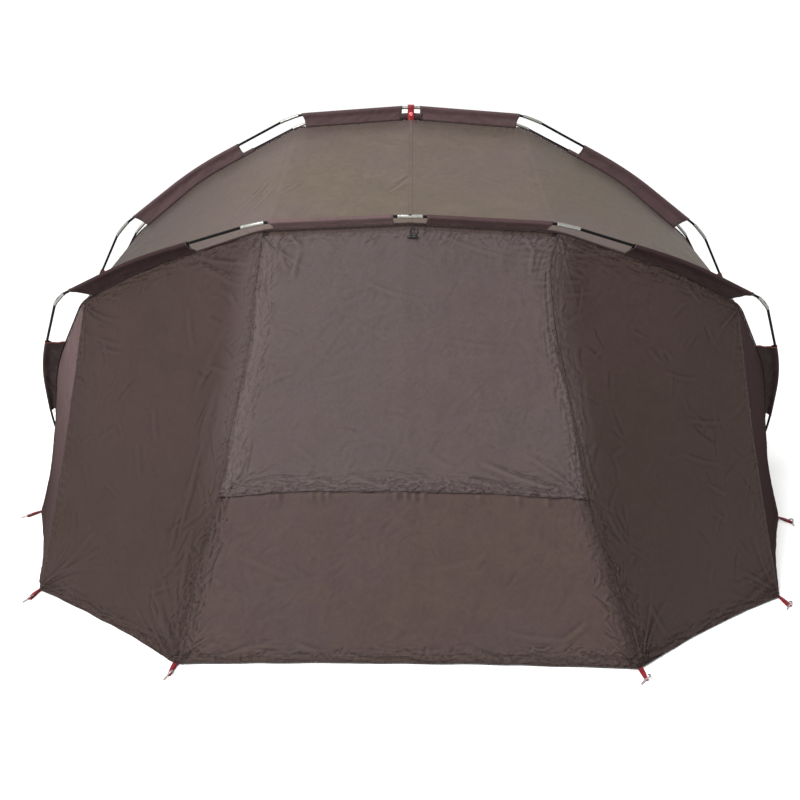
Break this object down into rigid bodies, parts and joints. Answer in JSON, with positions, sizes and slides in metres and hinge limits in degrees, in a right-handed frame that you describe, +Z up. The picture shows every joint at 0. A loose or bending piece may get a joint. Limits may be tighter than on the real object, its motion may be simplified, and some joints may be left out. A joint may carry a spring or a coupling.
{
  "type": "camping tent",
  "caption": "Dome shelter tent: bowed sectional poles from two side feet carry a peg-down cover of sewn panels with zipped end doors.",
  "frame": {"origin": "on the ground under the middle of the tent", "axes": "+Z up, the door that shows in the picture faces -Y, the two feet lie on X"},
  "size_m": [3.2806, 3.1844, 1.6795],
  "materials": {
    "front_cloth": "warm dark grey-brown coated polyester, soft sheen",
    "side_cloth": "dark brown coated polyester, soft sheen",
    "roof_cloth": "lighter grey-brown coated polyester, soft sheen",
    "sleeve_cloth": "near-black brown woven polyester, matt",
    "fibreglass": "black fibreglass rod with bright metal ferrules",
    "foot_plastic": "black moulded nylon",
    "red_webbing": "red woven webbing"
  },
  "bodies": {
    "root": {"back_flap": "front_cloth", "back_panel": "front_cloth", "crown_strap_back": "red_webbing", "crown_strap_front": "red_webbing", "foot_left": "foot_plastic", "foot_right": "foot_plastic", "front_flap": "front_cloth", "front_panel": "front_cloth", "gore_back_left": "side_cloth", "gore_back_right": "side_cloth", "gore_front_left": "side_cloth", "gore_front_right": "side_cloth", "gore_mid_left": "side_cloth", "gore_mid_right": "side_cloth", "peg_loop_corner_back_left": "red_webbing", "peg_loop_corner_back_right": "red_webbing", "peg_loop_corner_front_left": "red_webbing", "peg_loop_corner_front_right": "red_webbing", "peg_loop_door_back_left": "red_webbing", "peg_loop_door_back_right": "red_webbing", "peg_loop_door_front_left": "red_webbing", "peg_loop_door_front_right": "red_webbing", "peg_loop_side_back_left": "red_webbing", "peg_loop_side_back_right": "red_webbing", "peg_loop_side_front_left": "red_webbing", "peg_loop_side_front_right": "red_webbing", "pole_back": "fibreglass", "pole_front": "fibreglass", "pole_mid_back": "fibreglass", "pole_mid_front": "fibreglass", "roof_back": "roof_cloth", "roof_crown": "roof_cloth", "roof_front": "roof_cloth", "side_back_left": "side_cloth", "side_back_right": "side_cloth", "side_front_left": "side_cloth", "side_front_right": "side_cloth", "sleeve_back": "sleeve_cloth", "sleeve_front": "sleeve_cloth", "sleeve_mid_back": "sleeve_cloth", "sleeve_mid_front": "sleeve_cloth", "toggle_back": "sleeve_cloth", "toggle_front": "sleeve_cloth", "wing_back_left": "side_cloth", "wing_back_right": "side_cloth", "wing_front_left": "side_cloth", "wing_front_right": "side_cloth"}
  },
  "joints": []
}
